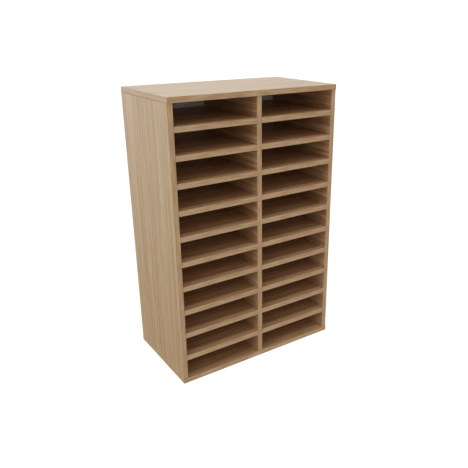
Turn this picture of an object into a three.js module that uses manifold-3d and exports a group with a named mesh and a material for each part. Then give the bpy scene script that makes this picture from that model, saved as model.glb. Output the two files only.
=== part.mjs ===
// Pigeonhole mail sorter: columns of open pigeonholes in faced board, with a thin back.
// Millimetres, +Z up, front towards -Y, origin at the middle of the footprint.

import * as THREE from "three";
import { mergeVertices } from "three/addons/utils/BufferGeometryUtils.js";
import Module from "manifold-3d";

// Pigeonholes
const COLUMNS = 2;
const ROWS = 11;
const HOLE_WIDTH = 298;
const HOLE_HEIGHT = 70;

// Boards
const BOARD_THICKNESS = 18;
const CAP_DEPTH = 360;
const FRONT_REVEAL = 2.5;
const BACK_THICKNESS = 2.5;
const BACK_EDGE_INSET = 0.5;

// Gap left at every glued, slid-in or screwed face
const FIT = 0.3;

// Housings in the uprights, closed towards the front so that they do not show there
const HOUSING_DEPTH = 6;
const HOUSING_STOP = 12;

// Dowels between the uprights and the top and bottom boards
const DOWELS_PER_JOINT = 3;
const DOWEL_DIAMETER = 8;
const DOWEL_LENGTH = 35;
const DOWEL_CHAMFER = 1;
const DOWEL_DEPTH_IN_CAP = 12;
const DOWEL_EDGE_DISTANCE = 50;

// Countersunk screws through the back into the uprights
const SCREWS_PER_UPRIGHT = 4;
const SCREW_LENGTH = 16;
const SCREW_DIAMETER = 3;
const SCREW_HEAD_DIAMETER = 5.6;
const SCREW_HEAD_HEIGHT = 1.7;
const SCREW_HEAD_RIM = 0.3;
const SCREW_TIP = 2.5;

// Facets around a dowel, a screw and their holes
const FACETS = 16;

// Sizes that follow from the ones above
const WIDTH = COLUMNS * HOLE_WIDTH + (COLUMNS + 1) * BOARD_THICKNESS;
const HEIGHT = ROWS * HOLE_HEIGHT + (ROWS + 1) * BOARD_THICKNESS;
const PITCH_X = HOLE_WIDTH + BOARD_THICKNESS;
const PITCH_Z = HOLE_HEIGHT + BOARD_THICKNESS;
const CAP_FRONT = -CAP_DEPTH / 2;
const CAP_REAR = CAP_DEPTH / 2;
const CARCASS_FRONT = CAP_FRONT + FRONT_REVEAL;
const BACK_FRONT = CAP_REAR - BACK_THICKNESS;
const CARCASS_REAR = BACK_FRONT - FIT;
const UPRIGHT_FOOT = BOARD_THICKNESS + FIT;
const UPRIGHT_HEAD = HEIGHT - BOARD_THICKNESS - FIT;
const UPRIGHT_LENGTH = UPRIGHT_HEAD - UPRIGHT_FOOT;
const DOWEL_RADIUS = DOWEL_DIAMETER / 2;
const DOWEL_HOLE_RADIUS = DOWEL_RADIUS + FIT;
const SCREW_RADIUS = SCREW_DIAMETER / 2;
const SCREW_HEAD_RADIUS = SCREW_HEAD_DIAMETER / 2;

const wasm = await Module();
wasm.setup();

// Finishes

function oakFinish() {
  return new THREE.MeshStandardMaterial({ color: 0xc3a67f, roughness: 0.5, metalness: 0 });
}

function backFinish() {
  return new THREE.MeshStandardMaterial({ color: 0xedece9, roughness: 0.6, metalness: 0 });
}

function beechFinish() {
  return new THREE.MeshStandardMaterial({ color: 0xd2ae84, roughness: 0.7, metalness: 0 });
}

function steelFinish() {
  return new THREE.MeshStandardMaterial({ color: 0xa9abad, roughness: 0.35, metalness: 1 });
}

// Cutting

// A closed three.js geometry as a solid that can be cut
function solidFrom(geometry) {
  const bare = geometry.clone();
  bare.deleteAttribute("normal");
  bare.deleteAttribute("uv");
  const merged = mergeVertices(bare, 1e-4);
  return new wasm.Manifold(
    new wasm.Mesh({
      numProp: 3,
      vertProperties: new Float32Array(merged.getAttribute("position").array),
      triVerts: new Uint32Array(merged.getIndex().array),
    }),
  );
}

// The geometry with every cutter taken out of it
function cutAway(geometry, cutters) {
  let solid = solidFrom(geometry);
  for (const cutter of cutters) {
    solid = solid.subtract(solidFrom(cutter));
  }
  const mesh = solid.getMesh();
  const result = new THREE.BufferGeometry();
  result.setAttribute("position", new THREE.BufferAttribute(new Float32Array(mesh.vertProperties), 3));
  result.setIndex(new THREE.BufferAttribute(new Uint32Array(mesh.triVerts), 1));
  const flat = result.toNonIndexed();
  flat.computeVertexNormals();
  return flat;
}

// A box given by its two opposite corners
function boxBetween(low, high) {
  const box = new THREE.BoxGeometry(high[0] - low[0], high[1] - low[1], high[2] - low[2]);
  box.translate((low[0] + high[0]) / 2, (low[1] + high[1]) / 2, (low[2] + high[2]) / 2);
  return box;
}

// A round hole or pin along Z between two heights
function roundAlongZ(radius, x, y, low, high) {
  const pin = new THREE.CylinderGeometry(radius, radius, high - low, FACETS);
  pin.rotateX(Math.PI / 2);
  pin.translate(x, y, (low + high) / 2);
  return pin;
}

// A body turned about the Y axis, its outline given as radius and height pairs
function turnedAlongY(outline) {
  const points = outline.map(([radius, height]) => new THREE.Vector2(radius, height));
  return new THREE.LatheGeometry(points, FACETS);
}

// Positions shared by the pieces

// Middle of an upright, counted from the left
function uprightX(index) {
  return -WIDTH / 2 + BOARD_THICKNESS / 2 + index * PITCH_X;
}

// Middle of a column of pigeonholes, counted from the left
function columnX(index) {
  return uprightX(index) + PITCH_X / 2;
}

// Underside of a shelf, counted from the lowest one
function shelfUnderside(index) {
  return PITCH_Z * (index + 1);
}

// Places of the dowels along an upright's end, from front to rear
function dowelPlaces() {
  const first = CARCASS_FRONT + DOWEL_EDGE_DISTANCE;
  const last = CARCASS_REAR - DOWEL_EDGE_DISTANCE;
  const places = [];
  for (let i = 0; i < DOWELS_PER_JOINT; i += 1) {
    places.push(first + ((last - first) * i) / (DOWELS_PER_JOINT - 1));
  }
  return places;
}

// Heights of the back screws, each at the middle of a pigeonhole
function screwHeights() {
  const heights = [];
  for (let i = 0; i < SCREWS_PER_UPRIGHT; i += 1) {
    const row = Math.round((i * (ROWS - 1)) / (SCREWS_PER_UPRIGHT - 1));
    heights.push(BOARD_THICKNESS + row * PITCH_Z + HOLE_HEIGHT / 2);
  }
  return heights;
}

// Outline of a back screw from its head to its tip, larger all round by a gap
function screwOutline(gap) {
  return [
    [0, gap],
    [SCREW_HEAD_RADIUS + gap, gap],
    [SCREW_HEAD_RADIUS + gap, -SCREW_HEAD_RIM],
    [SCREW_RADIUS + gap, -SCREW_HEAD_HEIGHT],
    [SCREW_RADIUS + gap, -SCREW_LENGTH + SCREW_TIP],
    [0, -SCREW_LENGTH - gap],
  ].reverse();
}

// Pieces

// Top or bottom board, its inner face at height zero and its body on the given side of it
function capBoard(name, side, height) {
  const low = side > 0 ? 0 : -BOARD_THICKNESS;
  const high = side > 0 ? BOARD_THICKNESS : 0;
  const board = boxBetween([-WIDTH / 2, CAP_FRONT, low], [WIDTH / 2, CAP_REAR, high]);
  const holeBottom = side * (DOWEL_DEPTH_IN_CAP + FIT);
  const holeMouth = -side * FIT;
  const holes = [];
  for (let i = 0; i <= COLUMNS; i += 1) {
    for (const y of dowelPlaces()) {
      const ends = [holeBottom, holeMouth];
      holes.push(roundAlongZ(DOWEL_HOLE_RADIUS, uprightX(i), y, Math.min(...ends), Math.max(...ends)));
    }
  }
  const mesh = new THREE.Mesh(cutAway(board, holes), oakFinish());
  mesh.name = name;
  mesh.position.z = height;
  return mesh;
}

// Side or divider, standing on the bottom board, with housings on the faces that carry shelves
function upright(name, index) {
  const half = BOARD_THICKNESS / 2;
  const board = boxBetween([-half, CARCASS_FRONT, 0], [half, CARCASS_REAR, UPRIGHT_LENGTH]);
  const cutters = [];
  for (const face of [-1, 1]) {
    const neighbour = index + (face > 0 ? 0 : -1);
    if (neighbour >= 0 && neighbour < COLUMNS) {
      cutters.push(...housings(face));
    }
  }
  const holeDepth = DOWEL_LENGTH - DOWEL_DEPTH_IN_CAP + FIT;
  for (const y of dowelPlaces()) {
    cutters.push(roundAlongZ(DOWEL_HOLE_RADIUS, 0, y, -FIT, holeDepth));
    cutters.push(roundAlongZ(DOWEL_HOLE_RADIUS, 0, y, UPRIGHT_LENGTH - holeDepth, UPRIGHT_LENGTH + FIT));
  }
  for (const height of screwHeights()) {
    const hole = turnedAlongY(screwOutline(FIT));
    hole.translate(0, CAP_REAR, height - UPRIGHT_FOOT);
    cutters.push(hole);
  }
  const mesh = new THREE.Mesh(cutAway(board, cutters), oakFinish());
  mesh.name = name;
  mesh.position.set(uprightX(index), 0, UPRIGHT_FOOT);
  return mesh;
}

// Stopped grooves for all shelf ends on one face of an upright
function housings(face) {
  const outside = (face * BOARD_THICKNESS) / 2;
  const near = outside - face * HOUSING_DEPTH;
  const far = outside + face;
  const grooves = [];
  for (let i = 0; i < ROWS - 1; i += 1) {
    const low = shelfUnderside(i) - UPRIGHT_FOOT - FIT;
    const high = low + BOARD_THICKNESS + 2 * FIT;
    grooves.push(
      boxBetween(
        [Math.min(near, far), CARCASS_FRONT + HOUSING_STOP, low],
        [Math.max(near, far), CARCASS_REAR + 1, high],
      ),
    );
  }
  return grooves;
}

// Shelf with its front corners cut back so that the housed part stays out of sight
function shelf(name, column, index) {
  const clear = HOLE_WIDTH / 2 - FIT;
  const housed = HOLE_WIDTH / 2 + HOUSING_DEPTH - FIT;
  const shoulder = CARCASS_FRONT + HOUSING_STOP + FIT;
  const outline = new THREE.Shape();
  outline.moveTo(-clear, CARCASS_FRONT);
  outline.lineTo(clear, CARCASS_FRONT);
  outline.lineTo(clear, shoulder);
  outline.lineTo(housed, shoulder);
  outline.lineTo(housed, CARCASS_REAR);
  outline.lineTo(-housed, CARCASS_REAR);
  outline.lineTo(-housed, shoulder);
  outline.lineTo(-clear, shoulder);
  outline.closePath();
  const board = new THREE.ExtrudeGeometry(outline, { depth: BOARD_THICKNESS, bevelEnabled: false });
  const mesh = new THREE.Mesh(board, oakFinish());
  mesh.name = name;
  mesh.position.set(columnX(column), 0, shelfUnderside(index));
  return mesh;
}

// Thin back between the top and bottom boards, laid on the rear edges of uprights and shelves
function backPanel() {
  const half = WIDTH / 2 - BACK_EDGE_INSET;
  const board = boxBetween([-half, BACK_FRONT, 0], [half, CAP_REAR, UPRIGHT_LENGTH]);
  const holes = [];
  for (let i = 0; i <= COLUMNS; i += 1) {
    for (const height of screwHeights()) {
      const hole = turnedAlongY(screwOutline(FIT));
      hole.translate(uprightX(i), CAP_REAR, height - UPRIGHT_FOOT);
      holes.push(hole);
    }
  }
  const mesh = new THREE.Mesh(cutAway(board, holes), backFinish());
  mesh.name = "back_panel";
  mesh.position.z = UPRIGHT_FOOT;
  return mesh;
}

// Dowel with chamfered ends, its lower end at the given height
function dowel(name, x, y, low) {
  const body = turnedAlongY([
    [0, 0],
    [DOWEL_RADIUS - DOWEL_CHAMFER, 0],
    [DOWEL_RADIUS, DOWEL_CHAMFER],
    [DOWEL_RADIUS, DOWEL_LENGTH - DOWEL_CHAMFER],
    [DOWEL_RADIUS - DOWEL_CHAMFER, DOWEL_LENGTH],
    [0, DOWEL_LENGTH],
  ]);
  const mesh = new THREE.Mesh(body, beechFinish());
  mesh.name = name;
  mesh.rotation.x = Math.PI / 2;
  mesh.position.set(x, y, low);
  return mesh;
}

// Countersunk screw, its head level with the rear of the back
function backScrew(name, x, height) {
  const mesh = new THREE.Mesh(turnedAlongY(screwOutline(0)), steelFinish());
  mesh.name = name;
  mesh.position.set(x, CAP_REAR, height);
  return mesh;
}

// Assembly

function nameOfUpright(index) {
  if (index === 0) {
    return "left_side";
  }
  if (index === COLUMNS) {
    return "right_side";
  }
  return COLUMNS === 2 ? "centre_divider" : `divider_${index}`;
}

function nameOfPlace(index) {
  return nameOfUpright(index).split("_")[0];
}

function nameOfColumn(index) {
  if (COLUMNS === 2) {
    return index === 0 ? "left" : "right";
  }
  return `column_${index + 1}`;
}

function carcass() {
  const group = new THREE.Group();
  group.name = "carcass";
  group.add(capBoard("bottom_board", -1, BOARD_THICKNESS));
  group.add(capBoard("top_board", 1, HEIGHT - BOARD_THICKNESS));
  for (let i = 0; i <= COLUMNS; i += 1) {
    group.add(upright(nameOfUpright(i), i));
  }
  group.add(backPanel());
  return group;
}

function shelves() {
  const group = new THREE.Group();
  group.name = "shelves";
  for (let column = 0; column < COLUMNS; column += 1) {
    for (let i = 0; i < ROWS - 1; i += 1) {
      const number = String(i + 1).padStart(2, "0");
      group.add(shelf(`shelf_${nameOfColumn(column)}_${number}`, column, i));
    }
  }
  return group;
}

function dowels() {
  const group = new THREE.Group();
  group.name = "dowels";
  const bottomEnd = BOARD_THICKNESS - DOWEL_DEPTH_IN_CAP;
  const topEnd = HEIGHT - BOARD_THICKNESS + DOWEL_DEPTH_IN_CAP - DOWEL_LENGTH;
  for (let i = 0; i <= COLUMNS; i += 1) {
    dowelPlaces().forEach((y, k) => {
      group.add(dowel(`dowel_bottom_${nameOfPlace(i)}_${k + 1}`, uprightX(i), y, bottomEnd));
      group.add(dowel(`dowel_top_${nameOfPlace(i)}_${k + 1}`, uprightX(i), y, topEnd));
    });
  }
  return group;
}

function backScrews() {
  const group = new THREE.Group();
  group.name = "back_screws";
  for (let i = 0; i <= COLUMNS; i += 1) {
    screwHeights().forEach((height, k) => {
      group.add(backScrew(`back_screw_${nameOfPlace(i)}_${k + 1}`, uprightX(i), height));
    });
  }
  return group;
}

const mailSorter = new THREE.Group();
mailSorter.name = "pigeonhole_mail_sorter";
mailSorter.add(carcass(), shelves(), dowels(), backScrews());

export default mailSorter;
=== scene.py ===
import logging
import math
from collections.abc import Callable
from dataclasses import dataclass, field
from enum import Enum

import bmesh
import bpy
import numpy as np
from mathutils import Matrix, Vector


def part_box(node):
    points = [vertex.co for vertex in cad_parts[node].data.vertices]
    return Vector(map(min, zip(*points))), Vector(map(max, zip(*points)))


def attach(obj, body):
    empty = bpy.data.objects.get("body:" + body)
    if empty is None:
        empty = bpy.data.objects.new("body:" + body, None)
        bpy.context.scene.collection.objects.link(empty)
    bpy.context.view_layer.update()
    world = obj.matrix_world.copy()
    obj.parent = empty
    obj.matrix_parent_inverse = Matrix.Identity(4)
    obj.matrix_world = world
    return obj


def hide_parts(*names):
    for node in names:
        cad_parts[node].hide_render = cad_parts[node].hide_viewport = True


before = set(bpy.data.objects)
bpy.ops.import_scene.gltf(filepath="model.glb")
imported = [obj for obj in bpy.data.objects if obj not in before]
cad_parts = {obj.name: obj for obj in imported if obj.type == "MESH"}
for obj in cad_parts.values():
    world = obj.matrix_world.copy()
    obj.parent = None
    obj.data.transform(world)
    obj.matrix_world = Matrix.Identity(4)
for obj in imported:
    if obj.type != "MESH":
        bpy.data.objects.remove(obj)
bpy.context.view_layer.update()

BODY = "root"
LOG = logging.getLogger("mail_sorter")

Colour = tuple[float, float, float]
Triple = tuple[float, float, float]
Socket = bpy.types.NodeSocket
Value = Socket | float | int | tuple | str | bool | bpy.types.ID
Given = dict[str, Value]

MM = 0.001
GRAIN = "grain"
STRIP_NUMBER = "strip_number"
FLAT = 0.9
SQUARE = 0.99
SAME_PLANE = math.radians(1)
NEAR = 0.02 * MM
DIGITS = 6
# A print's seed differs by the way a face looks, and moves the print along and across its grain.
SEED_STEP = 0.4
SEED_FAR_SIDE = 0.9
SEED_ALONG = 1.3
SEED_ACROSS = 0.37


class Axis(Enum):
    """The three directions of the frame, by the number of their coordinate."""

    X = 0
    Y = 1
    Z = 2


class Side(Enum):
    """Where a face of a board lies."""

    CUT = 0
    INSIDE = 1
    OUTSIDE = 2
    TOP = 3


class PrintLayer(Enum):
    """The layers of the oak print: step through the noise, roughness, and the ends of what is kept."""

    BAND = (1.0, 0.55, 0.38, 0.62)
    STREAK = (1.7, 0.55, 0.34, 0.66)
    FLECK = (2.9, 0.55, 0.34, 0.66)
    FIBRE = (2.3, 0.60, 0.30, 0.70)


class Slot(Enum):
    """Names of the record's material slots."""

    OAK = "oak_board"
    BACK = "white_back"
    DOWEL = "beech_dowel"
    SCREW = "screw_steel"


class NodeBuilder:
    """Adds nodes to one tree and joins them."""

    def __init__(self, tree: bpy.types.NodeTree) -> None:
        """Keeps the tree that every node goes into."""
        self.tree = tree

    def add(
        self, kind: str, inputs: dict[str | int, Value] | None = None, **settings: Value
    ) -> bpy.types.Node:
        """Makes one node.

        Args:
            kind: the node's type.
            inputs: what each input takes, by name or number: another node's output or a fixed value.
            settings: the node's own options.

        Returns:
            The new node.
        """
        node = self.tree.nodes.new(kind)
        for option, value in settings.items():
            setattr(node, option, value)
        for key, value in (inputs or {}).items():
            if isinstance(value, Socket):
                self.tree.links.new(value, node.inputs[key])
            else:
                node.inputs[key].default_value = value
        return node

    def maths(self, operation: str, a: Value, b: Value = 0.0) -> Socket:
        """Gives the result of one sum on two numbers."""
        return self.add("ShaderNodeMath", {0: a, 1: b}, operation=operation).outputs[0]

    def stretched(self, vector: Socket, factors: Triple) -> Socket:
        """Multiplies each part of a vector by its own factor."""
        return self.add("ShaderNodeVectorMath", {0: vector, 1: factors}, operation="MULTIPLY").outputs[0]

    def noise(self, vector: Socket, factors: Triple, detail: float = 2.0, roughness: float = 0.5) -> Socket:
        """Makes a noise pattern.

        Args:
            vector: the coordinates, in metres.
            factors: how many features a metre holds along each coordinate.
            detail: how many finer layers are added.
            roughness: how strong the finer layers are.

        Returns:
            The noise from 0 to 1.
        """
        place = self.stretched(vector, factors)
        inputs = {"Vector": place, "Scale": 1.0, "Detail": detail, "Roughness": roughness}
        return self.add("ShaderNodeTexNoise", inputs, noise_dimensions="3D").outputs[0]

    def spread(
        self, value: Socket, low: Value, high: Value, to_low: Value = 0.0, to_high: Value = 1.0
    ) -> Socket:
        """Maps a number from one range to another and keeps it inside.

        Args:
            value: the number.
            low: the low end of its range.
            high: the high end of its range.
            to_low: what the low end becomes.
            to_high: what the high end becomes.

        Returns:
            The mapped number.
        """
        inputs = {0: value, 1: low, 2: high, 3: to_low, 4: to_high}
        return self.add("ShaderNodeMapRange", inputs, clamp=True).outputs[0]

    def blended(self, share: Value, a: Value, b: Value, way: str = "MIX") -> Socket:
        """Blends two colours.

        Args:
            share: how much of the second colour shows.
            a: the first colour.
            b: the second colour.
            way: how they blend.

        Returns:
            The blended colour.
        """
        inputs = {0: share, 6: as_rgba(a), 7: as_rgba(b)}
        return self.add("ShaderNodeMix", inputs, data_type="RGBA", blend_type=way).outputs[2]


def as_rgba(colour: Value) -> Value:
    """Gives a colour of three numbers its opacity, and passes anything else on."""
    return (*colour, 1.0) if isinstance(colour, tuple) and len(colour) == 3 else colour


def new_material(name: str) -> tuple[bpy.types.Material, NodeBuilder, bpy.types.Node]:
    """Makes a material with one surface shader.

    Args:
        name: the material's name.

    Returns:
        The material, a builder for its nodes, and its shader.
    """
    material = bpy.data.materials.new(name)
    material.use_nodes = True
    return material, NodeBuilder(material.node_tree), material.node_tree.nodes["Principled BSDF"]


def join_surface(
    nodes: NodeBuilder, shader: bpy.types.Node, colour: Socket, rough: Socket, relief: Socket
) -> None:
    """Joins a colour, a roughness and a relief to a shader."""
    for name, socket in (("Base Color", colour), ("Roughness", rough), ("Normal", relief)):
        nodes.tree.links.new(socket, shader.inputs[name])


@dataclass(frozen=True)
class OakFinish:
    """Oak-effect facing: bands, streaks, flecks, fibres and pores along the stored grain."""

    name: str
    ground: Colour
    tint: Colour
    band: float = 34 * MM
    band_length: float = 1600 * MM
    band_depth: float = 0.14
    streak: float = 7.0 * MM
    streak_length: float = 900 * MM
    streak_depth: float = 0.46
    fleck: float = 12 * MM
    fleck_length: float = 60 * MM
    fleck_depth: float = 0.10
    fibre: float = 2.4 * MM
    fibre_length: float = 140 * MM
    fibre_depth: float = 0.22
    fibre_relief: float = 0.2
    pore: float = 0.8 * MM
    pore_length: float = 24 * MM
    pore_depth: float = 0.35
    pore_step: float = 3.1
    pore_ends: tuple[float, float] = (0.60, 0.72)
    pore_fade: tuple[float, float, float, float] = (0.1, 0.8, 1.0, 0.25)
    drift: float = 2 * MM
    drift_pace: Triple = (1.4, 4.0, 1.0)
    roughness: float = 0.46
    roughness_play: float = 0.015
    pore_roughness: float = 0.10
    relief: float = 0.02 * MM
    relief_strength: float = 0.5
    ior: float = 1.5

    def material(self) -> bpy.types.Material:
        """Makes the facing's material."""
        material, nodes, shader = new_material(self.name)
        stored = nodes.add("ShaderNodeAttribute", attribute_name=GRAIN).outputs["Vector"]
        grain = self.wandering(nodes, stored)
        bands = self.layer(nodes, grain, PrintLayer.BAND, self.band, self.band_length)
        streaks = self.layer(nodes, grain, PrintLayer.STREAK, self.streak, self.streak_length)
        flecks = self.layer(nodes, grain, PrintLayer.FLECK, self.fleck, self.fleck_length)
        fibres = self.layer(nodes, grain, PrintLayer.FIBRE, self.fibre, self.fibre_length)
        pores = self.pores(nodes, grain, streaks)
        colour: Value = self.ground
        layers = (
            (bands, self.band_depth),
            (streaks, self.streak_depth),
            (flecks, self.fleck_depth),
            (fibres, self.fibre_depth),
        )
        for pattern, depth in layers:
            colour = nodes.blended(1.0, colour, self.tinted(nodes, pattern, depth), "MULTIPLY")
        hollow = tuple(1 - self.pore_depth * share for share in self.tint)
        shade = nodes.blended(pores, (1.0, 1.0, 1.0), hollow)
        colour = nodes.blended(1.0, colour, shade, "MULTIPLY")
        dull, bright = self.roughness + self.roughness_play, self.roughness - self.roughness_play
        rough = nodes.spread(fibres, 0.0, 1.0, dull, bright)
        rough = nodes.maths("ADD", rough, nodes.maths("MULTIPLY", pores, self.pore_roughness))
        height = nodes.maths("SUBTRACT", nodes.maths("MULTIPLY", fibres, self.fibre_relief), pores)
        inputs = {"Strength": self.relief_strength, "Distance": self.relief, "Height": height}
        bump = nodes.add("ShaderNodeBump", inputs).outputs[0]
        join_surface(nodes, shader, colour, rough, bump)
        shader.inputs["IOR"].default_value = self.ior
        return material

    def wandering(self, nodes: NodeBuilder, grain: Socket) -> Socket:
        """Bends the grain slightly sideways on its way along the board."""
        drift = nodes.noise(grain, self.drift_pace, detail=1.0)
        drift = nodes.spread(drift, 0.0, 1.0, -self.drift, self.drift)
        aside = nodes.add("ShaderNodeCombineXYZ", {1: drift}).outputs[0]
        return nodes.add("ShaderNodeVectorMath", {0: grain, 1: aside}, operation="ADD").outputs[0]

    def layer(
        self, nodes: NodeBuilder, grain: Socket, layer: PrintLayer, width: float, length: float
    ) -> Socket:
        """Makes one layer of the print.

        Args:
            nodes: the material's builder.
            grain: the place along and across the grain.
            layer: which layer it is.
            width: how wide its marks are.
            length: how long its marks are.

        Returns:
            The layer's pattern from 0 to 1.
        """
        step, roughness, low, high = layer.value
        pattern = nodes.noise(grain, (1 / length, 1 / width, step), roughness=roughness)
        return nodes.spread(pattern, low, high)

    def pores(self, nodes: NodeBuilder, grain: Socket, streaks: Socket) -> Socket:
        """Makes the pores, which are fainter where the streaks are light."""
        ticks = nodes.noise(grain, (1 / self.pore_length, 1 / self.pore, self.pore_step), detail=1.0)
        ticks = nodes.spread(ticks, *self.pore_ends)
        return nodes.maths("MULTIPLY", ticks, nodes.spread(streaks, *self.pore_fade))

    def tinted(self, nodes: NodeBuilder, pattern: Socket, depth: float) -> Socket:
        """Turns a pattern into a tint that darkens or lightens by the given share, most in blue."""
        deep, lift = (tuple(1 + way * depth * share for share in self.tint) for way in (-1, 1))
        return nodes.blended(pattern, deep, lift)


@dataclass(frozen=True)
class SpeckledFinish:
    """A plain material with fine specks and slow clouding, on the piece's own coordinates."""

    name: str
    ground: Colour
    speck: Colour
    speck_size: float
    speck_share: float
    cloud_depth: float = 0.05
    roughness: float = 0.6
    metal: float = 0.0
    speck_ends: tuple[float, float] = (0.62, 0.74)
    speck_pull: float = 0.3
    speck_detail: float = 3.0
    speck_roughness: float = 0.65
    cloud_pace: float = 9.0
    middle: tuple[float, float] = (0.3, 0.7)
    roughness_play: float = 0.05
    relief: float = 0.02 * MM
    relief_strength: float = 0.5

    def material(self) -> bpy.types.Material:
        """Makes the material."""
        material, nodes, shader = new_material(self.name)
        place = nodes.add("ShaderNodeTexCoord").outputs["Object"]
        specks = nodes.noise(place, (1 / self.speck_size,) * 3, self.speck_detail, self.speck_roughness)
        clouds = nodes.noise(place, (self.cloud_pace,) * 3)
        low, high = (end - self.speck_share * self.speck_pull for end in self.speck_ends)
        colour = nodes.blended(nodes.spread(specks, low, high), self.ground, self.speck)
        clouding = nodes.spread(clouds, *self.middle, 1.0 - self.cloud_depth, 1.0 + self.cloud_depth)
        colour = nodes.blended(1.0, colour, clouding, "MULTIPLY")
        bright, dull = self.roughness - self.roughness_play, self.roughness + self.roughness_play
        rough = nodes.spread(specks, *self.middle, bright, dull)
        inputs = {"Strength": self.relief_strength, "Distance": self.relief, "Height": specks}
        bump = nodes.add("ShaderNodeBump", inputs).outputs[0]
        join_surface(nodes, shader, colour, rough, bump)
        shader.inputs["Metallic"].default_value = self.metal
        return material


@dataclass
class Finishes:
    """Every material of the object, made once."""

    facing: bpy.types.Material = field(init=False)
    lit_top: bpy.types.Material = field(init=False)
    shaded_inside: bpy.types.Material = field(init=False)
    edging: bpy.types.Material = field(init=False)
    core: bpy.types.Material = field(init=False)
    lacquer: bpy.types.Material = field(init=False)
    hardboard: bpy.types.Material = field(init=False)
    beech: bpy.types.Material = field(init=False)
    zinc: bpy.types.Material = field(init=False)

    def __post_init__(self) -> None:
        """Makes the materials."""
        self.facing = OakFinish("oak_facing", (0.472, 0.313, 0.161), (0.29, 0.63, 1.00)).material()
        # Painted light: the top takes a paler, less red copy of the oak with a fainter print, standing in
        # for the strong light on the top; the real top is the same oak as the rest.
        self.lit_top = OakFinish(
            "oak_lit_top",
            (0.462, 0.323, 0.174),
            (0.29, 0.63, 1.00),
            band_depth=0.10,
            streak_depth=0.17,
            fleck_depth=0.03,
        ).material()
        # Painted shade: the inside faces take a redder, deeper copy of the oak, with its print tinted to
        # match, standing in for the shade and warm bounce light inside the pigeonholes.
        self.shaded_inside = OakFinish(
            "oak_shaded_inside",
            (0.487, 0.281, 0.143),
            (0.62, 0.83, 1.00),
            band_depth=0.10,
            streak=11 * MM,
            streak_length=420 * MM,
            streak_depth=0.38,
        ).material()
        # Partly painted light: the edging is a band of its own, and its ground is also set lighter and
        # redder than the facing to offset the dimmer light on the front edges.
        self.edging = OakFinish(
            "oak_edging",
            (0.520, 0.328, 0.165),
            (0.47, 0.72, 1.00),
            band=16 * MM,
            band_length=300 * MM,
            band_depth=0.03,
            streak=5.5 * MM,
            streak_length=60 * MM,
            streak_depth=0.21,
            fleck=9 * MM,
            fleck_length=45 * MM,
        ).material()
        self.core = SpeckledFinish(
            "chipboard_core", (0.50, 0.36, 0.21), (0.26, 0.16, 0.08), 2.2 * MM, 0.5, roughness=0.85
        ).material()
        self.lacquer = SpeckledFinish(
            "white_lacquer", (0.86, 0.85, 0.83), (0.83, 0.82, 0.80), 1.2 * MM, 0.3, roughness=0.5
        ).material()
        self.hardboard = SpeckledFinish(
            "raw_hardboard",
            (0.250, 0.155, 0.088),
            (0.170, 0.098, 0.052),
            1.6 * MM,
            0.45,
            cloud_depth=0.04,
            roughness=0.72,
        ).material()
        self.beech = SpeckledFinish(
            "raw_beech", (0.60, 0.42, 0.26), (0.42, 0.26, 0.14), 0.9 * MM, 0.3, roughness=0.7
        ).material()
        self.zinc = SpeckledFinish(
            "zinc_plate", (0.62, 0.63, 0.64), (0.52, 0.53, 0.55), 0.5 * MM, 0.3, roughness=0.32, metal=1.0
        ).material()

    def on(self, side: Side) -> bpy.types.Material:
        """Gives the material that a board has on one side."""
        return {
            Side.CUT: self.core,
            Side.INSIDE: self.shaded_inside,
            Side.OUTSIDE: self.facing,
            Side.TOP: self.lit_top,
        }[side]


def placed(name: str, mesh: bpy.types.Mesh) -> bpy.types.Object:
    """Puts a mesh in the scene as an object at the origin."""
    piece = bpy.data.objects.new(name, mesh)
    bpy.context.scene.collection.objects.link(piece)
    return piece


def fixed(piece: bpy.types.Object, slot: Slot, *nodes: str) -> None:
    """Ties a finished piece to the frame.

    Args:
        piece: the piece.
        slot: the record's slot that its finish belongs to; not used.
        nodes: the CAD nodes that it stands for.
    """
    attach(piece, BODY)
    if nodes:
        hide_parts(*nodes)
    LOG.info("%s: %d faces", piece.name, len(piece.data.polygons))


def node_points(node: str) -> tuple[np.ndarray, np.ndarray]:
    """Reads a CAD node's corners, each once, and its triangles.

    Args:
        node: the node's name.

    Returns:
        The corners in metres, and the numbers of each triangle's corners.
    """
    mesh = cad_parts[node].data
    loose = np.empty(len(mesh.vertices) * 3)
    mesh.vertices.foreach_get("co", loose)
    mesh.calc_loop_triangles()
    faces = np.empty(len(mesh.loop_triangles) * 3, dtype=np.int32)
    mesh.loop_triangles.foreach_get("vertices", faces)
    points, numbers = np.unique(np.round(loose.reshape(-1, 3), DIGITS), axis=0, return_inverse=True)
    triangles = numbers.reshape(-1)[faces].reshape(-1, 3)
    whole = [len(set(row)) == 3 for row in triangles.tolist()]
    return points, triangles[whole]


def solid_mesh(name: str, points: np.ndarray, triangles: np.ndarray) -> bpy.types.Mesh:
    """Makes a mesh with whole flat faces from a solid's triangles.

    Args:
        name: the mesh's name.
        points: the corners.
        triangles: the numbers of each triangle's corners.

    Returns:
        The new mesh.
    """
    mesh = bpy.data.meshes.new(name)
    mesh.from_pydata(points.tolist(), [], triangles.tolist())
    shape = bmesh.new()
    shape.from_mesh(mesh)
    bmesh.ops.dissolve_limit(shape, angle_limit=SAME_PLANE, verts=shape.verts, edges=shape.edges)
    shape.to_mesh(mesh)
    shape.free()
    return mesh


def soften(mesh: bpy.types.Mesh, width: float, picked: Callable[[bmesh.types.BMEdge], bool]) -> None:
    """Breaks the picked edges of a mesh with a small chamfer.

    Args:
        mesh: the mesh to change.
        width: the chamfer's width.
        picked: tells whether an edge is broken.
    """
    shape = bmesh.new()
    shape.from_mesh(mesh)
    edges = [edge for edge in shape.edges if len(edge.link_faces) == 2 and picked(edge)]
    bmesh.ops.bevel(shape, geom=edges, offset=width, segments=1, affect="EDGES", clamp_overlap=True)
    shape.to_mesh(mesh)
    shape.free()


def face_seeds(seed: float) -> Triple:
    """Gives the faces that look along X, Y and Z a print each."""
    return (seed, seed + SEED_STEP, seed + 2 * SEED_STEP)


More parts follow.
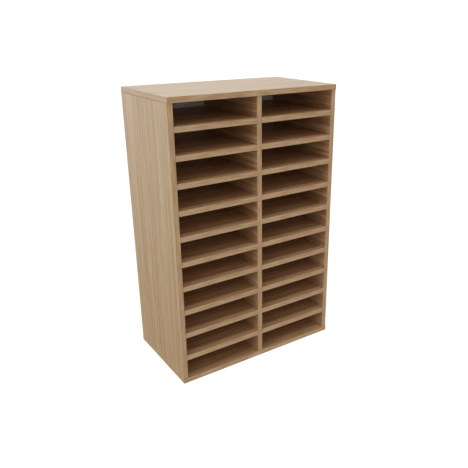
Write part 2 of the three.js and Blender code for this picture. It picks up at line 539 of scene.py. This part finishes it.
@dataclass
class GrainRule:
    """Which way the print runs on each face of a piece, and the corner that it is measured from."""

    along: Callable[[Vector], Axis]
    seeds: Triple
    start: Triple
    pitch: Triple = (0.0, 0.0, 0.0)

    def write(self, mesh: bpy.types.Mesh) -> None:
        """Stores the place along and across the grain at each face's corners, alike on every copy."""
        values = np.zeros((len(mesh.loops), 3), dtype=np.float32)
        strips = mesh.attributes.get(STRIP_NUMBER)
        for face in mesh.polygons:
            run = self.along(face.normal).value
            side = int(np.argmax(np.abs(face.normal)))
            across = 3 - run - side if run != side else (run + 1) % 3
            seed = self.seeds[side] + (SEED_FAR_SIDE if face.normal[side] > 0 else 0.0)
            for loop in face.loop_indices:
                vertex = mesh.loops[loop].vertex_index
                number = strips.data[vertex].value if strips else 0
                point = mesh.vertices[vertex].co - Vector(self.start) - number * Vector(self.pitch)
                values[loop] = (point[run] + SEED_ALONG * seed, point[across] + SEED_ACROSS * seed, seed)
        layer = mesh.attributes.new(GRAIN, "FLOAT_VECTOR", "CORNER")
        layer.data.foreach_set("vector", values.ravel())


def new_tree(name: str, sockets: dict[str, str]) -> tuple[bpy.types.GeometryNodeTree, dict[str, str]]:
    """Starts a geometry node tree.

    Args:
        name: the tree's name.
        sockets: the type of each input, by its name.

    Returns:
        The tree, and the identifier of each input by its name.
    """
    tree = bpy.data.node_groups.new(name, "GeometryNodeTree")
    known = {
        label: tree.interface.new_socket(label, in_out="INPUT", socket_type=kind).identifier
        for label, kind in sockets.items()
    }
    tree.interface.new_socket("Geometry", in_out="OUTPUT", socket_type="NodeSocketGeometry")
    return tree, known


def end_tree(nodes: NodeBuilder, shape: Socket, finish: Socket) -> None:
    """Makes copies real, gives them their finish and ends the tree."""
    real = nodes.add("GeometryNodeRealizeInstances", {0: shape}).outputs[0]
    dressed = nodes.add("GeometryNodeSetMaterial", {"Geometry": real, "Material": finish}).outputs[0]
    nodes.add("NodeGroupOutput", {0: dressed})


def edging_section(nodes: NodeBuilder, given: bpy.types.NodeOutputs) -> Socket:
    """Draws the section of an edging: a thin rectangle with its two outer arrises rounded.

    Args:
        nodes: the tree's builder.
        given: the tree's inputs.

    Returns:
        The section as a closed curve.
    """
    plain = nodes.add(
        "GeometryNodeCurvePrimitiveQuadrilateral", {"Width": given["Band"], "Height": given["Thickness"]}
    ).outputs[0]
    place = nodes.add("ShaderNodeSeparateXYZ", {0: nodes.add("GeometryNodeInputPosition").outputs[0]})
    outer = nodes.maths("GREATER_THAN", place.outputs[0], 0.0)
    inputs = {
        "Curve": plain,
        "Radius": nodes.maths("MULTIPLY", outer, given["Arris"]),
        "Count": given["Arris Steps"],
    }
    return nodes.add("GeometryNodeFilletCurve", inputs, mode="POLY").outputs[0]


@dataclass
class Tree:
    """A geometry node tree and the identifiers of its inputs."""

    tree: bpy.types.GeometryNodeTree = field(init=False)
    inputs: dict[str, str] = field(init=False)

    def grow(self, name: str, given: Given, start: bpy.types.Mesh | None = None) -> bpy.types.Object:
        """Runs the tree once and keeps the result as a plain mesh.

        Args:
            name: the new piece's name.
            given: the value of each input, by its name.
            start: the mesh that the tree starts from, if it takes one.

        Returns:
            The piece.
        """
        piece = placed(name, start or bpy.data.meshes.new(name))
        modifier = piece.modifiers.new("grow", "NODES")
        modifier.node_group = self.tree
        for label, value in given.items():
            modifier[self.inputs[label]] = value
        bpy.context.view_layer.update()
        seen = piece.evaluated_get(bpy.context.evaluated_depsgraph_get())
        mesh = bpy.data.meshes.new_from_object(seen)
        piece.modifiers.remove(modifier)
        piece.data = mesh
        mesh.name = name
        mesh.materials.clear()
        mesh.materials.append(given["Finish"])
        mesh.polygons.foreach_set("material_index", [0] * len(mesh.polygons))
        mesh.shade_flat()
        return piece


@dataclass
class StripTree(Tree):
    """Lays equal straight strips of edging at a fixed pitch."""

    def __post_init__(self) -> None:
        """Builds the tree: a rounded section run along a line, turned, put in place and repeated."""
        sockets = {
            "Length": "NodeSocketFloat",
            "Thickness": "NodeSocketFloat",
            "Band": "NodeSocketFloat",
            "Arris": "NodeSocketFloat",
            "Arris Steps": "NodeSocketInt",
            "Turn": "NodeSocketVector",
            "Place": "NodeSocketVector",
            "Count": "NodeSocketInt",
            "Pitch": "NodeSocketVector",
            "Finish": "NodeSocketMaterial",
        }
        self.tree, self.inputs = new_tree("edging_strips", sockets)
        nodes = NodeBuilder(self.tree)
        given = nodes.add("NodeGroupInput").outputs
        end = nodes.add("ShaderNodeCombineXYZ", {2: given["Length"]}).outputs[0]
        run = nodes.add("GeometryNodeCurvePrimitiveLine", {"End": end}, mode="POINTS").outputs[0]
        inputs = {"Curve": run, "Profile Curve": edging_section(nodes, given), "Fill Caps": True}
        swept = nodes.add("GeometryNodeCurveToMesh", inputs).outputs[0]
        turn = nodes.add("FunctionNodeEulerToRotation", {0: given["Turn"]}).outputs[0]
        inputs = {"Geometry": swept, "Translation": given["Place"], "Rotation": turn}
        strip = nodes.add("GeometryNodeTransform", inputs).outputs[0]
        inputs = {"Count": given["Count"], "Offset": given["Pitch"]}
        points = nodes.add("GeometryNodeMeshLine", inputs, mode="OFFSET").outputs[0]
        copies = nodes.add("GeometryNodeInstanceOnPoints", {"Points": points, "Instance": strip}).outputs[0]
        number = nodes.add("GeometryNodeInputIndex").outputs[0]
        inputs = {"Geometry": copies, "Name": STRIP_NUMBER, "Value": number}
        kind = {"data_type": "INT", "domain": "INSTANCE"}
        marked = nodes.add("GeometryNodeStoreNamedAttribute", inputs, **kind).outputs[0]
        end_tree(nodes, marked, given["Finish"])


@dataclass
class LoopTree(Tree):
    """Runs one closed band of edging round a board."""

    def __post_init__(self) -> None:
        """Builds the tree: a rounded section run round a rectangle with eased corners."""
        sockets = {
            "Width": "NodeSocketFloat",
            "Depth": "NodeSocketFloat",
            "Thickness": "NodeSocketFloat",
            "Band": "NodeSocketFloat",
            "Arris": "NodeSocketFloat",
            "Arris Steps": "NodeSocketInt",
            "Place": "NodeSocketVector",
            "Finish": "NodeSocketMaterial",
        }
        self.tree, self.inputs = new_tree("edging_loop", sockets)
        nodes = NodeBuilder(self.tree)
        given = nodes.add("NodeGroupInput").outputs
        inputs = {
            "Width": nodes.maths("SUBTRACT", given["Width"], given["Band"]),
            "Height": nodes.maths("SUBTRACT", given["Depth"], given["Band"]),
        }
        path = nodes.add("GeometryNodeCurvePrimitiveQuadrilateral", inputs).outputs[0]
        inputs = {
            "Curve": path,
            "Radius": nodes.maths("MULTIPLY", given["Band"], 0.5),
            "Count": given["Arris Steps"],
        }
        eased = nodes.add("GeometryNodeFilletCurve", inputs, mode="POLY").outputs[0]
        inputs = {"Curve": eased, "Profile Curve": edging_section(nodes, given)}
        swept = nodes.add("GeometryNodeCurveToMesh", inputs).outputs[0]
        inputs = {"Geometry": swept, "Translation": given["Place"]}
        end_tree(nodes, nodes.add("GeometryNodeTransform", inputs).outputs[0], given["Finish"])


@dataclass
class CopyTree(Tree):
    """Sets a copy of one object on every point of a mesh, each turned about the Y axis."""

    def __post_init__(self) -> None:
        """Builds the tree: the object on the points, turned by a seeded random angle."""
        sockets = {
            "Points": "NodeSocketGeometry",
            "Pattern": "NodeSocketObject",
            "Turn": "NodeSocketFloat",
            "Seed": "NodeSocketInt",
            "Finish": "NodeSocketMaterial",
        }
        self.tree, self.inputs = new_tree("copies_on_points", sockets)
        nodes = NodeBuilder(self.tree)
        given = nodes.add("NodeGroupInput").outputs
        pattern = nodes.add("GeometryNodeObjectInfo", {"Object": given["Pattern"]}).outputs["Geometry"]
        chance = nodes.add("FunctionNodeRandomValue", {8: given["Seed"]}, data_type="FLOAT").outputs[1]
        angle = nodes.maths("MULTIPLY", chance, given["Turn"])
        euler = nodes.add("ShaderNodeCombineXYZ", {1: angle}).outputs[0]
        turn = nodes.add("FunctionNodeEulerToRotation", {0: euler}).outputs[0]
        inputs = {"Points": given["Points"], "Instance": pattern, "Rotation": turn}
        end_tree(nodes, nodes.add("GeometryNodeInstanceOnPoints", inputs).outputs[0], given["Finish"])


@dataclass
class DowelTree(Tree):
    """Sets fluted dowels with tapered ends on the points of a mesh."""

    def __post_init__(self) -> None:
        """Builds the tree: a star section run along a line that narrows at both ends."""
        sockets = {
            "Points": "NodeSocketGeometry",
            "Radius": "NodeSocketFloat",
            "Length": "NodeSocketFloat",
            "Flutes": "NodeSocketInt",
            "Flute Depth": "NodeSocketFloat",
            "Steps": "NodeSocketInt",
            "Taper": "NodeSocketFloat",
            "End Width": "NodeSocketFloat",
            "Finish": "NodeSocketMaterial",
        }
        self.tree, self.inputs = new_tree("fluted_dowels", sockets)
        nodes = NodeBuilder(self.tree)
        given = nodes.add("NodeGroupInput").outputs
        inner = nodes.maths("SUBTRACT", given["Radius"], given["Flute Depth"])
        inputs = {"Points": given["Flutes"], "Inner Radius": inner, "Outer Radius": given["Radius"]}
        star = nodes.add("GeometryNodeCurveStar", inputs).outputs[0]
        half = nodes.maths("MULTIPLY", given["Length"], 0.5)
        low = nodes.add("ShaderNodeCombineXYZ", {2: nodes.maths("MULTIPLY", half, -1.0)}).outputs[0]
        high = nodes.add("ShaderNodeCombineXYZ", {2: half}).outputs[0]
        ends = {"Start": low, "End": high}
        line = nodes.add("GeometryNodeCurvePrimitiveLine", ends, mode="POINTS").outputs[0]
        inputs = {"Curve": line, "Count": given["Steps"]}
        run = nodes.add("GeometryNodeResampleCurve", inputs, mode="COUNT").outputs[0]
        share = nodes.add("GeometryNodeSplineParameter").outputs["Factor"]
        off_middle = nodes.maths("ABSOLUTE", nodes.maths("SUBTRACT", share, 0.5))
        from_end = nodes.maths("SUBTRACT", 0.5, off_middle)
        width = nodes.spread(from_end, 0.0, given["Taper"], given["End Width"], 1.0)
        inputs = {"Curve": run, "Profile Curve": star, "Scale": width, "Fill Caps": True}
        dowel = nodes.add("GeometryNodeCurveToMesh", inputs).outputs[0]
        inputs = {"Points": given["Points"], "Instance": dowel}
        end_tree(nodes, nodes.add("GeometryNodeInstanceOnPoints", inputs).outputs[0], given["Finish"])


@dataclass(frozen=True)
class Edging:
    """The sizes of the edging that every visible board edge carries."""

    band: float = 1.0 * MM
    arris: float = 0.95 * MM
    arris_steps: int = 3

    def given(self, thickness: float, finish: bpy.types.Material) -> Given:
        """Gives the inputs that every edging tree shares."""
        return {
            "Thickness": thickness,
            "Band": self.band,
            "Arris": self.arris,
            "Arris Steps": self.arris_steps,
            "Finish": finish,
        }


@dataclass(frozen=True)
class Facing:
    """One facing of a board: which way its grain runs, and where it lies."""

    grain: Axis
    side: Side = Side.INSIDE


@dataclass
class FacedBoard:
    """A board of faced chipboard, cut back where edging covers its edges."""

    node: str
    thick: Axis
    low: Facing
    high: Facing
    edged: tuple[tuple[Axis, int], ...]
    seed: float
    edging: Edging = Edging()
    chamfer: float = 0.12 * MM

    def build(self, finishes: Finishes) -> bpy.types.Object:
        """Makes the board from its CAD solid and dresses it.

        Args:
            finishes: the object's materials.

        Returns:
            The board.
        """
        points, triangles = node_points(self.node)
        low, high = points.min(0), points.max(0)
        for axis, sign in self.edged:
            edge = (high if sign > 0 else low)[axis.value]
            points[np.abs(points[:, axis.value] - edge) < NEAR, axis.value] -= sign * self.edging.band
        mesh = solid_mesh(self.node + "_board", points, triangles)
        span = (low[self.thick.value], high[self.thick.value])
        soften(mesh, self.chamfer, lambda edge: self.is_arris(edge, span))
        self.dress(mesh, low, span, finishes)
        piece = placed(self.node + "_board", mesh)
        fixed(piece, Slot.OAK, self.node)
        return piece

    def is_arris(self, edge: bmesh.types.BMEdge, span: tuple[float, float]) -> bool:
        """Tells whether an edge lies between a facing and a long outer edge of the board."""
        way = self.thick.value
        level = any(all(abs(v.co[way] - side) < NEAR for v in edge.verts) for side in span)
        turned = {abs(face.normal[way]) > FLAT for face in edge.link_faces} == {True, False}
        rims = [face for face in edge.link_faces if abs(face.normal[way]) < FLAT]
        ways = [face.normal[axis.value] * sign for face in rims for axis, sign in self.edged]
        return level and turned and any(way_out > SQUARE for way_out in ways)

    def facing(self, normal: Vector) -> Facing:
        """Gives the facing that looks the same way as a face."""
        return self.high if normal[self.thick.value] > 0 else self.low

    def dress(
        self, mesh: bpy.types.Mesh, corner: np.ndarray, span: tuple[float, float], finishes: Finishes
    ) -> None:
        """Gives the two facings their oak, and every cut face the bare core.

        Args:
            mesh: the board's mesh.
            corner: the board's low corner, where its print starts.
            span: where the two facings lie along the thickness.
            finishes: the object's materials.
        """
        way = self.thick.value
        used = [side for side in Side if side in (Side.CUT, self.low.side, self.high.side)]
        for side in used:
            mesh.materials.append(finishes.on(side))
        for face in mesh.polygons:
            outer = any(abs(face.center[way] - level) < NEAR for level in span)
            faced = outer and abs(face.normal[way]) > FLAT
            face.material_index = used.index(self.facing(face.normal).side if faced else Side.CUT)
        seeds = face_seeds(self.seed)
        GrainRule(lambda normal: self.facing(normal).grain, seeds, tuple(corner)).write(mesh)


@dataclass
class Carcass:
    """The top and bottom boards, the three uprights and their edging."""

    edging: Edging = Edging()
    caps: tuple[str, ...] = ("top_board", "bottom_board")
    cap_seeds: tuple[float, ...] = (11.0, 16.0)
    cap_edging_seeds: Triple = (287.8, 282.8, 283.2)
    uprights: tuple[str, ...] = ("left_side", "centre_divider", "right_side")
    upright_seeds: tuple[float, ...] = (163.46, 270.44, 270.44)
    upright_edging_seed: float = 145.72

    def build(self, finishes: Finishes) -> None:
        """Builds every board of the carcass and lays its edging."""
        rim = ((Axis.X, -1), (Axis.X, 1), (Axis.Y, -1), (Axis.Y, 1))
        loops, strips = LoopTree(), StripTree()
        inner, top, under = Facing(Axis.X), Facing(Axis.X, Side.TOP), Facing(Axis.X, Side.OUTSIDE)
        caps = ((inner, top), (under, inner))
        for node, seed, (low, high) in zip(self.caps, self.cap_seeds, caps):
            FacedBoard(node, Axis.Z, low, high, rim, seed, self.edging).build(finishes)
            self.cap_edging(node, loops, finishes)
        inside, outside = Facing(Axis.Y), Facing(Axis.Z, Side.OUTSIDE)
        uprights = ((outside, inside), (inside, inside), (inside, outside))
        for node, seed, (low, high) in zip(self.uprights, self.upright_seeds, uprights):
            FacedBoard(node, Axis.X, low, high, ((Axis.Y, -1),), seed, self.edging).build(finishes)
        self.upright_edging(strips, finishes)

    def cap_edging(self, node: str, loops: LoopTree, finishes: Finishes) -> None:
        """Lays the edging round the top or the bottom board."""
        low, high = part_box(node)
        size = high - low
        given = self.edging.given(size.z, finishes.edging)
        given |= {"Width": size.x, "Depth": size.y, "Place": tuple((low + high) / 2)}
        piece = loops.grow(node + "_edging", given)
        piece.data.materials.append(finishes.facing)
        for face in piece.data.polygons:
            face.material_index = int(abs(face.normal.x) > FLAT)
        GrainRule(self.rim_grain, self.cap_edging_seeds, tuple(low)).write(piece.data)
        fixed(piece, Slot.OAK)

    @staticmethod
    def rim_grain(normal: Vector) -> Axis:
        """Runs the grain lengthwise on each side of a cap."""
        return Axis.X if abs(normal.y) > abs(normal.x) else Axis.Y

    def upright_edging(self, strips: StripTree, finishes: Finishes) -> None:
        """Lays the edging down the front of the three uprights."""
        low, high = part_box(self.uprights[0])
        far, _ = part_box(self.uprights[-1])
        pitch = (far.x - low.x) / (len(self.uprights) - 1)
        given = self.edging.given(high.x - low.x, finishes.edging)
        given |= {
            "Length": high.z - low.z,
            "Turn": (0.0, 0.0, -math.pi / 2),
            "Place": ((low.x + high.x) / 2, low.y + self.edging.band / 2, low.z),
            "Count": len(self.uprights),
            "Pitch": (pitch, 0.0, 0.0),
        }
        piece = strips.grow("upright_edging", given)
        seeds = face_seeds(self.upright_edging_seed)
        GrainRule(lambda normal: Axis.Z, seeds, tuple(low), given["Pitch"]).write(piece.data)
        fixed(piece, Slot.OAK)


@dataclass
class ShelfColumn:
    """One column of equal fixed shelves and the edging on their fronts."""

    side: str
    count: int = 10
    seed: float = 4.21
    edging_seed: float = 292.48
    edging: Edging = Edging()

    def build(self, finishes: Finishes) -> None:
        """Builds the column's shelves and lays their edging."""
        names = [f"shelf_{self.side}_{number:02d}" for number in range(1, self.count + 1)]
        facing, front = Facing(Axis.X), ((Axis.Y, -1),)
        for node in names:
            FacedBoard(node, Axis.Z, facing, facing, front, self.seed, self.edging).build(finishes)
        low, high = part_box(names[0])
        above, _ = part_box(names[1])
        points, _ = node_points(names[0])
        ends = points[points[:, 1] < low.y + NEAR, 0]
        left, right = ends.min(), ends.max()
        given = self.edging.given(high.z - low.z, finishes.edging)
        given |= {
            "Length": right - left,
            "Turn": (-math.pi / 2, 0.0, -math.pi / 2),
            "Place": (left, low.y + self.edging.band / 2, (low.z + high.z) / 2),
            "Count": self.count,
            "Pitch": (0.0, 0.0, above.z - low.z),
        }
        piece = StripTree().grow(f"shelf_{self.side}_edging", given)
        seeds, start = face_seeds(self.edging_seed), (left, low.y, low.z)
        GrainRule(lambda normal: Axis.X, seeds, start, given["Pitch"]).write(piece.data)
        fixed(piece, Slot.OAK)


@dataclass
class BackPanel:
    """The thin back: lacquered inside, bare hardboard on its rear and edges."""

    node: str = "back_panel"
    chamfer: float = 0.2 * MM

    def build(self, finishes: Finishes) -> None:
        """Makes the panel from its CAD solid and dresses it."""
        points, triangles = node_points(self.node)
        mesh = solid_mesh("white_back_panel", points, triangles)
        soften(mesh, self.chamfer, lambda edge: self.is_rim(edge, points))
        for material in (finishes.lacquer, finishes.hardboard):
            mesh.materials.append(material)
        for face in mesh.polygons:
            face.material_index = 0 if face.normal.y < -FLAT else 1
        fixed(placed("white_back_panel", mesh), Slot.BACK, self.node)

    @staticmethod
    def is_rim(edge: bmesh.types.BMEdge, points: np.ndarray) -> bool:
        """Tells whether an edge runs round the rear of the panel."""
        low, high = points.min(0), points.max(0)
        ends = np.array([tuple(vert.co) for vert in edge.verts])
        rear = np.all(np.abs(ends[:, 1] - high[1]) < NEAR)
        sides = [(axis, corner[axis]) for axis in (0, 2) for corner in (low, high)]
        outside = any(np.all(np.abs(ends[:, axis] - side) < NEAR) for axis, side in sides)
        return bool(rear and outside)


@dataclass
class BackScrews:
    """The countersunk cross-recess screws that hold the back."""

    uprights: tuple[str, ...] = ("left", "centre", "right")
    per_upright: int = 4
    rounds: int = 32
    head_share: float = 0.9
    shank_play: float = 0.1 * MM
    edge: float = 0.15 * MM
    recess_arm: float = 1.45 * MM
    recess_half: float = 0.34 * MM
    recess_depth: float = 1.0 * MM
    recess_taper: float = 0.55
    thread_pitch: float = 1.35 * MM
    thread_depth: float = 0.4 * MM
    seed: int = 7

    def build(self, finishes: Finishes) -> None:
        """Makes one screw and sets a copy in every hole."""
        names = [
            f"back_screw_{upright}_{number}"
            for upright in self.uprights
            for number in range(1, self.per_upright + 1)
        ]
        boxes = [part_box(name) for name in names]
        heads = [((low.x + high.x) / 2, high.y, (low.z + high.z) / 2) for low, high in boxes]
        low, high = boxes[0]
        pattern = placed("screw_pattern", self.screw(names[0], high.y - low.y))
        points = bpy.data.meshes.new("screw_places")
        points.from_pydata(heads, [], [])
        given = {"Pattern": pattern, "Turn": 2 * math.pi, "Seed": self.seed, "Finish": finishes.zinc}
        piece = CopyTree().grow("back_screws", given, points)
        bpy.data.objects.remove(pattern)
        fixed(piece, Slot.SCREW, *names)

    def screw(self, node: str, length: float) -> bpy.types.Mesh:
        """Makes one screw, its head's middle at the origin and its tip towards -Y.

        Args:
            node: the CAD screw that gives the radii.
            length: the whole length.

        Returns:
            The screw's mesh.
        """
        points, _ = node_points(node)
        low, high = points.min(0), points.max(0)
        middle = (low + high) / 2
        reach = np.hypot(points[:, 0] - middle[0], points[:, 2] - middle[2])
        head = float(reach.max())
        shank = float(reach[reach < self.head_share * head].max())
        depths = high[1] - points[:, 1]
        rim = float(depths[reach > self.head_share * head].max())
        shaft = depths[np.abs(reach - shank) < self.shank_play]
        neck, end = float(shaft.min()), float(shaft.max())
        shape = bmesh.new()
        levels = [(head - self.edge, 0.0), (head, -self.edge), (head, -rim), (shank, -neck)]
        levels += self.thread(shank, neck, end)
        rings = [self.ring(shape, radius, level) for radius, level in levels]
        for upper, lower in zip(rings, rings[1:]):
            for a in range(self.rounds):
                b = (a + 1) % self.rounds
                shape.faces.new((upper[a], lower[a], lower[b], upper[b]))
        tip_point = shape.verts.new((0.0, -length, 0.0))
        for a in range(self.rounds):
            shape.faces.new((rings[-1][a], tip_point, rings[-1][(a + 1) % self.rounds]))
        self.recess(shape, rings[0])
        bmesh.ops.recalc_face_normals(shape, faces=shape.faces)
        mesh = bpy.data.meshes.new("screw_pattern")
        shape.to_mesh(mesh)
        shape.free()
        return mesh

    def thread(self, shank: float, start: float, end: float) -> list[tuple[float, float]]:
        """Lists radius and level of the thread's ridges and roots, from the head to the tip."""
        levels, depth = [], start + self.thread_pitch
        while depth + self.thread_pitch < end:
            levels.append((shank - self.thread_depth, -depth))
            levels.append((shank, -depth - self.thread_pitch * 0.5))
            depth += self.thread_pitch
        levels.append((shank - self.thread_depth, -end))
        return levels

    def ring(self, shape: bmesh.types.BMesh, radius: float, level: float) -> list[bmesh.types.BMVert]:
        """Adds a ring of points round the screw's axis."""
        turns = [2 * math.pi * number / self.rounds for number in range(self.rounds)]
        places = [(radius * math.cos(turn), level, radius * math.sin(turn)) for turn in turns]
        return [shape.verts.new(place) for place in places]

    def recess(self, shape: bmesh.types.BMesh, rim: list[bmesh.types.BMVert]) -> None:
        """Closes the head with a tapered cross recess in its middle."""
        arm, half = self.recess_arm, self.recess_half
        quarter = [(arm, -half), (arm, half), (half, half)]
        outline = []
        for turn in range(4):
            for x, z in quarter:
                for _ in range(turn):
                    x, z = -z, x
                outline.append((x, z))
        mouth = [shape.verts.new((x, 0.0, z)) for x, z in outline]
        taper, depth = self.recess_taper, self.recess_depth
        floor = [shape.verts.new((x * taper, -depth, z * taper)) for x, z in outline]
        count = len(outline)
        loops = (rim, mouth)
        pairs = [(ring[a], ring[(a + 1) % len(ring)]) for ring in loops for a in range(len(ring))]
        edges = [shape.edges.get(pair) or shape.edges.new(pair) for pair in pairs]
        bmesh.ops.triangle_fill(shape, use_beauty=True, use_dissolve=False, edges=edges)
        for a in range(count):
            b = (a + 1) % count
            shape.faces.new((mouth[a], mouth[b], floor[b], floor[a]))
        shape.faces.new(floor)


@dataclass
class Dowels:
    """The fluted dowels between the uprights and the top and bottom boards."""

    ends: tuple[str, ...] = ("bottom", "top")
    uprights: tuple[str, ...] = ("left", "centre", "right")
    per_joint: int = 3
    flutes: int = 12
    flute_depth: float = 0.35 * MM
    steps: int = 15
    taper: float = 0.07
    end_width: float = 0.8

    def build(self, finishes: Finishes) -> None:
        """Sets a fluted dowel in place of every plain CAD dowel."""
        names = [
            f"dowel_{end}_{upright}_{number}"
            for end in self.ends
            for upright in self.uprights
            for number in range(1, self.per_joint + 1)
        ]
        boxes = [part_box(name) for name in names]
        points = bpy.data.meshes.new("dowel_places")
        points.from_pydata([tuple((low + high) / 2) for low, high in boxes], [], [])
        low, high = boxes[0]
        given = {
            "Radius": (high.x - low.x) / 2,
            "Length": high.z - low.z,
            "Flutes": self.flutes,
            "Flute Depth": self.flute_depth,
            "Steps": self.steps,
            "Taper": self.taper,
            "End Width": self.end_width,
            "Finish": finishes.beech,
        }
        piece = DowelTree().grow("fluted_dowels", given, points)
        fixed(piece, Slot.DOWEL, *names)


@dataclass(frozen=True)
class Glow:
    """A soft patch of studio light, far off in one direction."""

    azimuth: float
    elevation: float
    width: float
    strength: float

    def direction(self) -> Triple:
        """Gives the patch's direction: azimuth 0 is the front, and it grows towards the right."""
        turn, rise = math.radians(self.azimuth), math.radians(self.elevation)
        return (math.sin(turn) * math.cos(rise), -math.cos(turn) * math.cos(rise), math.sin(rise))

    def sharpness(self) -> float:
        """Turns the patch's half width in degrees into the sharpness of its falloff."""
        return math.log(2) / (1 - math.cos(math.radians(self.width)))


@dataclass
class Studio:
    """The pale floor, the soft light and the camera."""

    camera_place: Triple = (-1.01547, -1.67071, 1.18304)
    azimuth: float = -34.7414
    elevation: float = 20.9081
    lens: float = 42.2923
    shift: float = -0.06545
    sensor: float = 36.0
    floor_half: float = 6.0
    floor_sides: int = 64
    cove: float = 2.0
    cove_points: int = 9
    dome_points: int = 17
    floor_glow: float = 0.90
    base_light: float = 0.120
    glows: tuple[Glow, ...] = (
        Glow(-156.5, 15.0, 20.0, 2.114),
        Glow(0.0, 75.0, 20.0, 1.567),
        Glow(-85.7, 30.0, 20.0, 2.233),
        Glow(-180.0, 0.0, 20.0, 1.717),
        Glow(31.3, -15.0, 20.0, 0.304),
        Glow(140.9, 15.0, 20.0, 0.699),
        Glow(-60.0, 60.0, 20.0, 0.871),
        Glow(0.0, 0.0, 25.0, 0.726),
        Glow(150.0, 0.0, 20.0, 1.310),
        Glow(-78.3, -15.0, 20.0, 0.689),
        Glow(0.0, -45.0, 25.0, 0.728),
        Glow(90.0, 0.0, 25.0, 0.600),
    )

    def build(self) -> None:
        """Sets up the floor, the light and the camera."""
        self.floor()
        self.light()
        self.camera()
        settings = bpy.context.scene.view_settings
        settings.view_transform = "Standard"
        settings.look = "None"

    def floor(self) -> None:
        """Lays the floor, which rises into a pale dome and adds nothing to the light on the object."""
        shape = bmesh.new()
        quarter = math.pi / 2
        cove = [
            (self.floor_half + self.cove * math.sin(step), self.cove * (1 - math.cos(step)))
            for step in np.linspace(0.0, quarter, self.cove_points)
        ]
        wide, rise = cove[-1]
        dome = [
            (wide * math.cos(step), rise + wide * math.sin(step))
            for step in np.linspace(0.0, quarter, self.dome_points)
        ]
        profile = [(0.0, 0.0), *cove, *dome[1:]]
        line = [shape.verts.new((reach, 0.0, height)) for reach, height in profile]
        edges = [shape.edges.new(pair) for pair in zip(line, line[1:])]
        turn = {"axis": (0, 0, 1), "cent": (0, 0, 0), "angle": 2 * math.pi, "steps": self.floor_sides}
        bmesh.ops.spin(shape, geom=line + edges, **turn)
        bmesh.ops.remove_doubles(shape, verts=shape.verts, dist=0.1 * MM)
        bmesh.ops.recalc_face_normals(shape, faces=shape.faces)
        bmesh.ops.reverse_faces(shape, faces=shape.faces)
        mesh = bpy.data.meshes.new("pale_floor")
        shape.to_mesh(mesh)
        shape.free()
        mesh.shade_smooth()
        mesh.materials.append(self.floor_material())
        floor = placed("pale_floor", mesh)
        floor.visible_glossy = False
        floor.visible_diffuse = False
        floor.visible_shadow = False

    def floor_material(self) -> bpy.types.Material:
        """Makes the pale floor's material, clear from below."""
        finish = SpeckledFinish(
            "pale_floor", (0.25, 0.25, 0.25), (0.24, 0.24, 0.24), 50 * MM, 0.3, 0.01, roughness=0.9
        )
        material = finish.material()
        nodes = NodeBuilder(material.node_tree)
        shader = material.node_tree.nodes["Principled BSDF"]
        shader.inputs["Emission Color"].default_value = (1.0, 1.0, 1.0, 1.0)
        shader.inputs["Emission Strength"].default_value = self.floor_glow
        shader.inputs["Specular IOR Level"].default_value = 0.0
        below = nodes.add("ShaderNodeNewGeometry").outputs["Backfacing"]
        clear = nodes.add("ShaderNodeBsdfTransparent").outputs[0]
        mixed = nodes.add("ShaderNodeMixShader", {0: below, 1: shader.outputs[0], 2: clear}).outputs[0]
        material.node_tree.links.new(mixed, material.node_tree.nodes["Material Output"].inputs["Surface"])
        return material

    def light(self) -> None:
        """Lights the studio all round, with soft brighter patches."""
        world = bpy.data.worlds.new("studio")
        world.use_nodes = True
        nodes = NodeBuilder(world.node_tree)
        way = nodes.add("ShaderNodeTexCoord").outputs["Generated"]
        total: Value = self.base_light
        for glow in self.glows:
            inputs = {0: way, 1: glow.direction()}
            facing = nodes.add("ShaderNodeVectorMath", inputs, operation="DOT_PRODUCT").outputs["Value"]
            fall = nodes.maths("MULTIPLY", nodes.maths("SUBTRACT", facing, 1.0), glow.sharpness())
            patch = nodes.maths("MULTIPLY", nodes.maths("EXPONENT", fall), glow.strength)
            total = nodes.maths("ADD", patch, total)
        world.node_tree.links.new(total, world.node_tree.nodes["Background"].inputs["Strength"])
        world.node_tree.nodes["Background"].inputs["Color"].default_value = (1.0, 1.0, 1.0, 1.0)
        bpy.context.scene.world = world

    def camera(self) -> None:
        """Puts the camera where the photograph was taken from."""
        data = bpy.data.cameras.new("camera")
        data.sensor_width = self.sensor
        data.lens = self.lens
        data.shift_x = self.shift
        camera = bpy.data.objects.new("camera", data)
        camera.location = self.camera_place
        camera.rotation_euler = (math.radians(90 - self.elevation), 0.0, math.radians(self.azimuth))
        bpy.context.scene.collection.objects.link(camera)
        bpy.context.scene.camera = camera


def main() -> None:
    """Builds the mail sorter and its studio."""
    logging.basicConfig(level=logging.INFO, format="%(message)s")
    finishes = Finishes()
    Carcass().build(finishes)
    ShelfColumn("left").build(finishes)
    ShelfColumn("right").build(finishes)
    BackPanel().build(finishes)
    BackScrews().build(finishes)
    Dowels().build(finishes)
    Studio().build()


if __name__ == "__main__":
    main()
